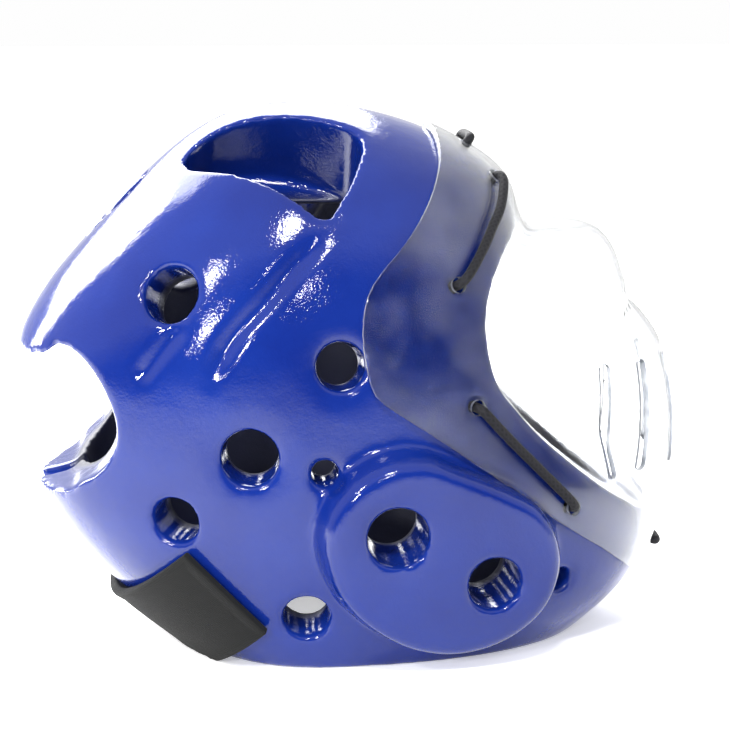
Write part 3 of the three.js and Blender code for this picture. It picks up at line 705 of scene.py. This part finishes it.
def makeLace(kind, side, name):
    gap = foam["gap"]
    lift = gap + shield["wall"] + lace["thickness"] / 2 + 0.45
    deep = -size["wall"] - 7.2
    (t0, turn0), (t1, turn1) = laceEnds(kind, side)

    def along(u, out):
        return skin(t0 + (t1 - t0) * u, turn0 + (turn1 - turn0) * u, out)[0]

    path = [along(0, deep), along(0, -size["wall"] / 2), along(0, 0), along(0.02, lift * 0.8),
            along(0.1, lift), along(0.3, lift), along(0.5, lift), along(0.7, lift), along(0.9, lift),
            along(0.98, lift * 0.8), along(1, 0), along(1, -size["wall"] / 2), along(1, deep)]
    line = smoothLine(path, lace["steps"])
    bm = bmesh.new()
    uvLayer = bm.loops.layers.uv.new("laceRun")
    runLayer = bm.verts.layers.float_vector.new("run")
    around, radius = lace["around"], lace["thickness"] / 2
    loop, side1 = None, None
    ran = 0.0
    for k, p in enumerate(line):
        tangent = Vector(line[min(k + 1, len(line) - 1)] - line[max(k - 1, 0)]).normalized()
        if side1 is None:
            side1 = tangent.orthogonal().normalized()
        side1 = (side1 - tangent * side1.dot(tangent)).normalized()
        side2 = tangent.cross(side1)
        if k:
            ran += float(np.linalg.norm(line[k] - line[k - 1]))
        if loop is None:
            verts = bmesh.ops.create_circle(bm, segments=around, radius=1)["verts"]
            loop = list(bm.edges)
            first = loop
        else:
            out = bmesh.ops.extrude_edge_only(bm, edges=loop)["geom"]
            verts = [g for g in out if isinstance(g, bmesh.types.BMVert)]
            loop = [g for g in out if isinstance(g, bmesh.types.BMEdge)]
        for j, v in enumerate(verts):
            a = 2 * math.pi * j / around
            v.co = Vector(p) + (side1 * math.cos(a) + side2 * math.sin(a)) * radius
            v[runLayer] = (ran, j / around, 0)
    for rim in (first, loop):  # both ends are closed inside the knots
        bmesh.ops.contextual_create(bm, geom=rim)
    bmesh.ops.recalc_face_normals(bm, faces=bm.faces)
    for face in bm.faces:
        turns = [lp.vert[runLayer][1] for lp in face.loops]
        wraps = max(turns) - min(turns) > 0.5
        for lp in face.loops:
            run, share, _ = lp.vert[runLayer]
            lp[uvLayer].uv = (run * mm, share + (1 if wraps and share < 0.5 else 0))
    for end in (0, -1):  # knots behind the foam
        ball = bmesh.ops.create_icosphere(bm, subdivisions=3, radius=lace["knot"])["verts"]
        for v in ball:
            v.co *= 1 + 0.09 * math.sin(v.co.x * 1.7 + v.co.y * 1.3) * math.cos(v.co.z * 1.5)
        bmesh.ops.translate(bm, vec=line[end], verts=ball)
    placed(bm)
    body = objectFrom(bm, name)
    return shadeSmooth(body)


# finishes
finish = {
    "blue": (15, 40, 120),
    "blueDeep": (10, 31, 106),
    # painted shade for the deep hollow inside the foam
    "paintedHollowShade": (14, 18, 46),
    "webbing": (24, 24, 22),
    "cord": (26, 26, 32),
    "floor": (250, 250, 249),
    # the floor's painted shade in front and the strength of its painted glow
    "floorFar": (150, 152, 156), "floorGlow": 0.42,
}
studioFall = (-0.7, -0.2)  # metres along X, from the floor's painted shade to its painted glow


def tone(rgb):
    # a colour read off a screen, as linear light
    return tuple(((c / 255 + 0.055) / 1.055) ** 2.4 if c > 10 else c / 255 / 12.92 for c in rgb) + (1,)


def grey(level):
    return (level, level, level, 1)


def newFinish(name):
    mat = bpy.data.materials.new(name)
    mat.use_nodes = True
    nodes, links = mat.node_tree.nodes, mat.node_tree.links
    shader = next(n for n in nodes if n.type == "BSDF_PRINCIPLED")
    coords = nodes.new("ShaderNodeTexCoord")
    return mat, nodes, links, shader, coords


def noiseNode(nodes, links, source, scale, detail=3.0, rough=0.5):
    node = nodes.new("ShaderNodeTexNoise")
    node.inputs["Scale"].default_value = scale
    node.inputs["Detail"].default_value = detail
    node.inputs["Roughness"].default_value = rough
    links.new(source, node.inputs["Vector"])
    return node


def rampNode(nodes, links, source, stops):
    node = nodes.new("ShaderNodeValToRGB")
    ramp = node.color_ramp
    while len(ramp.elements) < len(stops):
        ramp.elements.new(0.5)
    for element, (at, colour) in zip(ramp.elements, stops):
        element.position = at
        element.color = colour
    links.new(source, node.inputs["Fac"])
    return node


def bumpChain(nodes, links, shader, layers):
    # layers of (height socket, strength, depth in metres)
    last = None
    for socket, strength, depth in layers:
        node = nodes.new("ShaderNodeBump")
        node.inputs["Strength"].default_value = strength
        node.inputs["Distance"].default_value = depth
        links.new(socket, node.inputs["Height"])
        if last:
            links.new(last.outputs["Normal"], node.inputs["Normal"])
        last = node
    links.new(last.outputs["Normal"], shader.inputs["Normal"])


def dippedFoamFinish():
    mat, nodes, links, shader, coords = newFinish("dippedBlueFoam")
    at = coords.outputs["Object"]
    cloud = noiseNode(nodes, links, at, 22, 4)
    colour = rampNode(nodes, links, cloud.outputs["Fac"],
                      [(0.3, tone(finish["blueDeep"])), (0.7, tone(finish["blue"]))])
    gloss = noiseNode(nodes, links, at, 160, 3)
    rough = rampNode(nodes, links, gloss.outputs["Fac"], [(0.3, grey(0.03)), (0.75, grey(0.09))])
    inside = nodes.new("ShaderNodeAttribute")
    inside.attribute_name = "inside"
    # painted shade: deeper in the hollow the blue is mixed to dark navy, and the roughness rises
    for source, paintedHollowShade, socket in ((colour, tone(finish["paintedHollowShade"]), "Base Color"),
                                   (rough, grey(0.5), "Roughness")):
        mix = nodes.new("ShaderNodeMix")
        mix.data_type = "RGBA"
        links.new(inside.outputs["Fac"], mix.inputs["Factor"])
        links.new(source.outputs["Color"], mix.inputs["A"])
        mix.inputs["B"].default_value = paintedHollowShade
        links.new(mix.outputs["Result"], shader.inputs[socket])
    shader.inputs["IOR"].default_value = 1.47
    grain = noiseNode(nodes, links, at, 950, 2, 0.6)  # fine pebble that breaks the highlights up
    peel = noiseNode(nodes, links, at, 420, 2)
    swell = noiseNode(nodes, links, at, 60, 2)
    bumpChain(nodes, links, shader, [
        (swell.outputs["Fac"], 0.35, 0.0009),
        (peel.outputs["Fac"], 0.5, 0.00012),
        (grain.outputs["Fac"], 0.7, 0.00009),
    ])
    return mat


def clearFinish():
    mat, nodes, links, shader, coords = newFinish("clearMouldedShield")
    at = coords.outputs["Object"]
    shader.inputs["Base Color"].default_value = (0.93, 0.945, 0.96, 1)
    shader.inputs["IOR"].default_value = 1.43
    scuff = noiseNode(nodes, links, at, 28, 5)  # rubbed patches let less through
    clear = rampNode(nodes, links, scuff.outputs["Fac"], [(0.42, grey(1)), (0.68, grey(0.95))])
    links.new(clear.outputs["Color"], shader.inputs["Transmission Weight"])
    haze = noiseNode(nodes, links, at, 45, 4)
    rough = rampNode(nodes, links, haze.outputs["Fac"], [(0.35, grey(0.03)), (0.8, grey(0.17))])
    links.new(rough.outputs["Color"], shader.inputs["Roughness"])
    wave = noiseNode(nodes, links, at, 26, 1)
    speck = noiseNode(nodes, links, at, 900, 2)
    bumpChain(nodes, links, shader, [(wave.outputs["Fac"], 0.25, 0.0008), (speck.outputs["Fac"], 0.35, 0.00004)])
    return mat


def edgeFinish():
    # sawn and flame-polished edges, coloured near white as a painted highlight for the light they gather
    mat, nodes, links, shader, coords = newFinish("brightShieldEdge")
    haze = noiseNode(nodes, links, coords.outputs["Object"], 120, 3)
    colour = rampNode(nodes, links, haze.outputs["Fac"], [(0.3, tone((168, 174, 184))), (0.7, tone((236, 239, 243)))])
    links.new(colour.outputs["Color"], shader.inputs["Base Color"])
    shader.inputs["Transmission Weight"].default_value = 0.55
    shader.inputs["Roughness"].default_value = 0.18
    shader.inputs["IOR"].default_value = 1.5
    bumpChain(nodes, links, shader, [(haze.outputs["Fac"], 0.3, 0.0005)])
    return mat


def waveNode(nodes, links, source, scale, direction):
    node = nodes.new("ShaderNodeTexWave")
    node.bands_direction = direction
    node.inputs["Scale"].default_value = scale
    links.new(source, node.inputs["Vector"])
    return node


def webbingFinish():
    mat, nodes, links, shader, coords = newFinish("blackWebbing")
    uv = nodes.new("ShaderNodeUVMap")
    uv.uv_map = "strapRun"
    warp = waveNode(nodes, links, uv.outputs["UV"], 420, "Y")
    weft = waveNode(nodes, links, uv.outputs["UV"], 420, "X")
    weave = nodes.new("ShaderNodeMath")
    weave.operation = "MULTIPLY"
    links.new(warp.outputs["Fac"], weave.inputs[0])
    links.new(weft.outputs["Fac"], weave.inputs[1])
    colour = rampNode(nodes, links, weave.outputs["Value"],
                      [(0.0, tone((16, 17, 18))), (0.8, tone(finish["webbing"]))])
    links.new(colour.outputs["Color"], shader.inputs["Base Color"])
    shader.inputs["Roughness"].default_value = 0.9
    shader.inputs["Specular IOR Level"].default_value = 0.25
    shader.inputs["Sheen Weight"].default_value = 0.02
    fuzz = noiseNode(nodes, links, coords.outputs["Object"], 1400, 3)
    bumpChain(nodes, links, shader, [(weave.outputs["Value"], 0.5, 0.0003), (fuzz.outputs["Fac"], 0.4, 0.0002)])
    return mat


def cordFinish():
    mat, nodes, links, shader, coords = newFinish("blackBraidedCord")
    uv = nodes.new("ShaderNodeUVMap")
    uv.uv_map = "laceRun"
    strands = []
    for lean in (1, -1):
        turn = nodes.new("ShaderNodeMapping")
        turn.inputs["Scale"].default_value = (330, lean * 5, 1)
        links.new(uv.outputs["UV"], turn.inputs["Vector"])
        split = nodes.new("ShaderNodeSeparateXYZ")
        links.new(turn.outputs["Vector"], split.inputs["Vector"])
        total = nodes.new("ShaderNodeMath")
        total.operation = "ADD"
        links.new(split.outputs["X"], total.inputs[0])
        links.new(split.outputs["Y"], total.inputs[1])
        fold = nodes.new("ShaderNodeMath")
        fold.operation = "PINGPONG"
        fold.inputs[1].default_value = 0.5
        links.new(total.outputs["Value"], fold.inputs[0])
        strands.append(fold)
    braid = nodes.new("ShaderNodeMath")
    braid.operation = "MAXIMUM"
    links.new(strands[0].outputs["Value"], braid.inputs[0])
    links.new(strands[1].outputs["Value"], braid.inputs[1])
    colour = rampNode(nodes, links, braid.outputs["Value"], [(0.1, tone((10, 10, 14))), (0.5, tone(finish["cord"]))])
    links.new(colour.outputs["Color"], shader.inputs["Base Color"])
    shader.inputs["Roughness"].default_value = 0.7
    shader.inputs["Specular IOR Level"].default_value = 0.25
    shader.inputs["Sheen Weight"].default_value = 0.05
    fuzz = noiseNode(nodes, links, coords.outputs["Object"], 2200, 2)
    bumpChain(nodes, links, shader, [(braid.outputs["Value"], 0.7, 0.0006), (fuzz.outputs["Fac"], 0.3, 0.0001)])
    return mat


def floorFinish():
    mat, nodes, links, shader, coords = newFinish("paleFloor")
    grain = noiseNode(nodes, links, coords.outputs["Object"], 90, 2)
    colour = rampNode(nodes, links, grain.outputs["Fac"],
                      [(0.3, tone((248, 248, 247))), (0.7, tone(finish["floor"]))])
    place = nodes.new("ShaderNodeSeparateXYZ")
    links.new(coords.outputs["Object"], place.inputs["Vector"])
    near = nodes.new("ShaderNodeMapRange")  # painted light: the floor falls off to a painted shade in front of it and glows near the helmet
    near.inputs["From Min"].default_value, near.inputs["From Max"].default_value = studioFall
    links.new(place.outputs["X"], near.inputs["Value"])
    fall = nodes.new("ShaderNodeMix")
    fall.data_type = "RGBA"
    links.new(near.outputs["Result"], fall.inputs["Factor"])
    fall.inputs["A"].default_value = tone(finish["floorFar"])
    links.new(colour.outputs["Color"], fall.inputs["B"])
    links.new(fall.outputs["Result"], shader.inputs["Base Color"])
    # painted glow: the floor near the helmet emits light though it is no lamp
    glow = nodes.new("ShaderNodeMath")
    glow.operation = "MULTIPLY"
    links.new(near.outputs["Result"], glow.inputs[0])
    glow.inputs[1].default_value = finish["floorGlow"]
    links.new(glow.outputs["Value"], shader.inputs["Emission Strength"])
    shader.inputs["Roughness"].default_value = 0.6
    shader.inputs["Emission Color"].default_value = (1, 1, 1, 1)
    return mat


foamShell = makeFoam()
foamShell.data.materials.clear()
foamShell.data.materials.append(dippedFoamFinish())
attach(foamShell, "root")
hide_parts("shell_right", "shell_left", "ear_pad_right", "ear_pad_left")

clearShield = makeShield()
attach(clearShield, "root")
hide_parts("face_shield")

neckStrap = makeStrap()
neckStrap.data.materials.append(webbingFinish())
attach(neckStrap, "root")
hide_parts("neck_strap")

cordMaterial = cordFinish()
for kind, side, node in (("brow", 0, "brow_lace"), ("chin", 0, "chin_lace"),
                         ("temple", -1, "temple_lace_right"), ("temple", 1, "temple_lace_left"),
                         ("cheek", -1, "cheek_lace_right"), ("cheek", 1, "cheek_lace_left")):
    piece = makeLace(kind, side, node + "_cord")
    piece.data.materials.append(cordMaterial)
    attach(piece, "root")
    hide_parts(node)
print("laces threaded")

# floor, light and camera
studio = {
    "floorSize": 14.0,
    "world": 1.0,
    "overhead": 1.2,
    "brightSide": (254, 254, 254),
    "dimSide": (92, 95, 100),
    "back": 60, "streak": 18, "lamp": 520,  # lamps by the square metre
}
bm = bmesh.new()
bmesh.ops.create_grid(bm, x_segments=2, y_segments=2, size=studio["floorSize"] / 2)
floor = objectFrom(bm, "studioFloor")
floor.data.materials.append(floorFinish())

world = bpy.data.worlds.new("paleRoom")
world.use_nodes = True
worldNodes, worldLinks = world.node_tree.nodes, world.node_tree.links
roomCoords = worldNodes.new("ShaderNodeTexCoord")
roomSide = worldNodes.new("ShaderNodeSeparateXYZ")
worldLinks.new(roomCoords.outputs["Generated"], roomSide.inputs["Vector"])
roomLean = worldNodes.new("ShaderNodeMath")  # pale behind and overhead, dim behind the camera
roomLean.operation = "MULTIPLY_ADD"
worldLinks.new(roomSide.outputs["Z"], roomLean.inputs[0])
roomLean.inputs[1].default_value = studio["overhead"]
worldLinks.new(roomSide.outputs["X"], roomLean.inputs[2])
roomSpan = worldNodes.new("ShaderNodeMapRange")
roomSpan.inputs["From Min"].default_value, roomSpan.inputs["From Max"].default_value = -0.4, 0.1
worldLinks.new(roomLean.outputs["Value"], roomSpan.inputs["Value"])
roomTone = rampNode(worldNodes, worldLinks, roomSpan.outputs["Result"], [
    (0.0, tone(studio["dimSide"])), (1.0, tone(studio["brightSide"]))])
worldLinks.new(roomTone.outputs["Color"], worldNodes["Background"].inputs["Color"])
worldNodes["Background"].inputs["Strength"].default_value = studio["world"]
bpy.context.scene.world = world


def softBox(name, place, aim, wide, tall, power):
    light = bpy.data.lights.new(name, "AREA")
    light.shape = "RECTANGLE"
    light.size, light.size_y = wide, tall
    light.energy = power
    obj = bpy.data.objects.new(name, light)
    obj.location = place
    obj.rotation_euler = (Vector(aim) - Vector(place)).to_track_quat("-Z", "Y").to_euler()
    bpy.context.scene.collection.objects.link(obj)
    return obj


softBox("backBox", (1.1, 0.45, 0.98), (0, 0.03, 0.16), 1.7, 1.15, studio["back"])
softBox("streakBox", (0.75, 1.05, 0.62), (0, 0.03, 0.16), 0.16, 0.9, studio["streak"])
for k, (spot, wide) in enumerate((((-0.9, 0.1, 1.08), 0.14), ((-0.85, 0.73, 0.82), 0.1),
                                  ((-1.1, 0.62, 0.46), 0.12), ((-1.2, 0.05, 0.64), 0.06))):
    softBox("lamp%d" % (k + 1), spot, (0, 0.03, 0.13), wide, wide, studio["lamp"] * wide**2)

camera = bpy.data.cameras.new("photoCamera")
camera.lens = 115
camera.sensor_width = 36
cameraObj = bpy.data.objects.new("photoCamera", camera)
cameraObj.location = (-1.079166, 0.085950, 0.313313)
cameraObj.rotation_euler = (Vector((0, -0.008465, 0.1223)) - cameraObj.location).to_track_quat("-Z", "Y").to_euler()
bpy.context.scene.collection.objects.link(cameraObj)
bpy.context.scene.camera = cameraObj
bpy.context.scene.view_settings.view_transform = "Standard"
